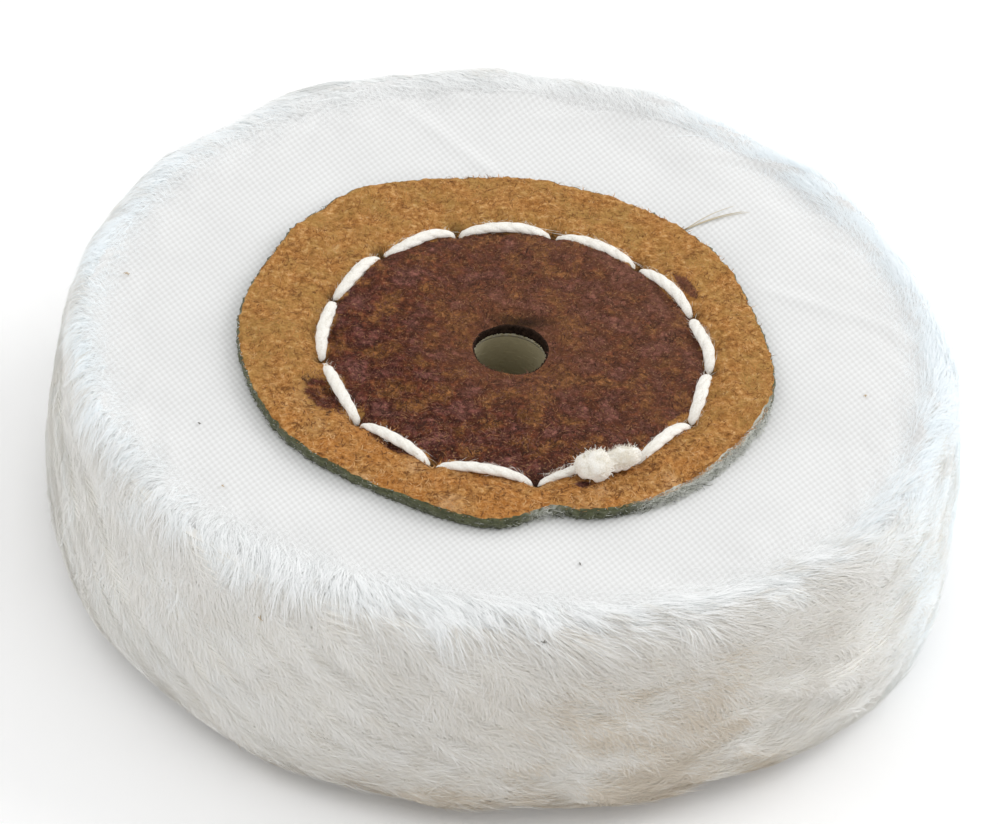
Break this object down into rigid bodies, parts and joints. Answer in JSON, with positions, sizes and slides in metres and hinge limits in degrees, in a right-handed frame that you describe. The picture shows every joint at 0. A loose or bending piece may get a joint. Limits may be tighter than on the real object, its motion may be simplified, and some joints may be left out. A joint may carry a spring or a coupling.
{
  "type": "cloth polishing wheel",
  "caption": "Leather-centred polishing wheel: a pack of loose white cotton cloth discs with combed-out plush edges, sewn between two leather discs round an arbor hole.",
  "frame": {"origin": "the middle of the arbor hole, halfway through the cloth pack", "axes": "+Z along the arbor hole, out of the face that carries the knot; the wheel lies flat"},
  "size_m": [0.078, 0.078, 0.0242],
  "materials": {
    "muslin": "plain-weave cotton, unbleached white",
    "suede": "split suede, tan with a dark dressed centre and grey-green cut edge",
    "twine": "soft twisted cotton twine"
  },
  "bodies": {
    "root": {"cloth_ply_01": "muslin", "cloth_ply_02": "muslin", "cloth_ply_03": "muslin", "cloth_ply_04": "muslin", "cloth_ply_05": "muslin", "cloth_ply_06": "muslin", "cloth_ply_07": "muslin", "cloth_ply_08": "muslin", "cloth_ply_09": "muslin", "cloth_ply_10": "muslin", "cloth_ply_11": "muslin", "cloth_ply_12": "muslin", "cloth_ply_13": "muslin", "cloth_ply_14": "muslin", "cloth_ply_15": "muslin", "cloth_ply_16": "muslin", "cloth_ply_17": "muslin", "cloth_ply_18": "muslin", "cloth_ply_19": "muslin", "cloth_ply_20": "muslin", "cloth_ply_21": "muslin", "cloth_ply_22": "muslin", "cloth_ply_23": "muslin", "cloth_ply_24": "muslin", "cloth_ply_25": "muslin", "cloth_ply_26": "muslin", "cloth_ply_27": "muslin", "cloth_ply_28": "muslin", "cloth_ply_29": "muslin", "cloth_ply_30": "muslin", "cloth_ply_31": "muslin", "cloth_ply_32": "muslin", "cloth_ply_33": "muslin", "cloth_ply_34": "muslin", "cloth_ply_35": "muslin", "cloth_ply_36": "muslin", "cloth_ply_37": "muslin", "cloth_ply_38": "muslin", "cloth_ply_39": "muslin", "cloth_ply_40": "muslin", "cloth_ply_41": "muslin", "cloth_ply_42": "muslin", "cloth_ply_43": "muslin", "cloth_ply_44": "muslin", "cloth_ply_45": "muslin", "cloth_ply_46": "muslin", "cloth_ply_47": "muslin", "cloth_ply_48": "muslin", "cloth_ply_49": "muslin", "cloth_ply_50": "muslin", "upper_leather": "suede", "lower_leather": "suede", "stitch_thread": "twine", "thread_knot": "twine"}
  },
  "joints": []
}
